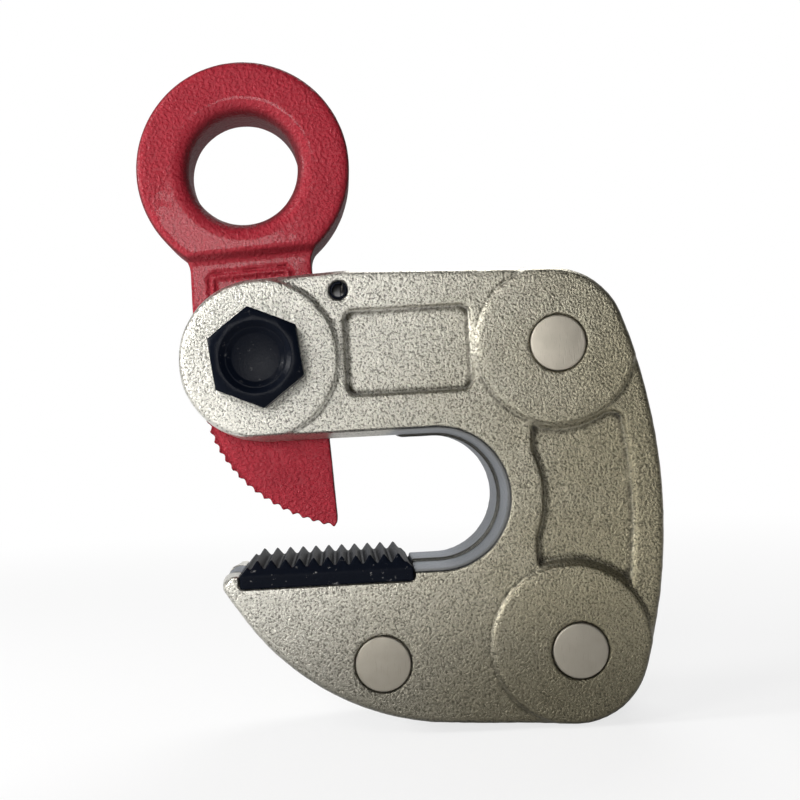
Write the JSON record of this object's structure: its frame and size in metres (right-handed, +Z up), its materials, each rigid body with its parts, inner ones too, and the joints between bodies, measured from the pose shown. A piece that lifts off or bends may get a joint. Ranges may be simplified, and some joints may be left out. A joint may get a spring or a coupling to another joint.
{
  "type": "horizontal plate lifting clamp",
  "caption": "Horizontal plate lifting clamp: a lifting eye and toothed cam lever bolted between two riveted forged plates, over a ridged jaw pad.",
  "frame": {"origin": "centre of the lifting eye's bore, on the middle plane between the two forged plates", "axes": "+Z up along the lever from the pivot to the eye, +X from the mouth to the closed spine, +Y along the eye's bore and the pivot bolt, from the bolt's head to its nut"},
  "size_m": [0.179, 0.0885, 0.2395],
  "materials": {
    "forged_plate": "rough forged surface with dull nickel-zinc plating",
    "core_steel": "machined and plated",
    "rivet_steel": "ground satin",
    "pad_steel": "hardened, glossy black with light wear",
    "bolt_steel": "black oxide",
    "red_paint": "glossy red enamel over a forged surface",
    "bush_bronze": "oiled bearing bronze"
  },
  "bodies": {
    "frame": {"front_cheek": "forged_plate", "back_cheek": "forged_plate", "core_plate": "core_steel", "jaw_pad": "pad_steel", "upper_rivet": "rivet_steel", "lower_rivet": "rivet_steel", "jaw_rivet": "rivet_steel", "stop_pin": "bolt_steel", "pivot_bolt": "bolt_steel", "lock_washer": "bolt_steel", "pivot_nut": "bolt_steel"},
    "lever": {"lever": "red_paint", "lever_bush": "bush_bronze"}
  },
  "joints": [
    {"name": "lever_pivot", "type": "hinge", "parent": "frame", "child": "lever", "pos_m": [0.00275, 0, -0.0688], "axis": [0, -1, 0], "range_deg": [-12.5, 32]}
  ]
}
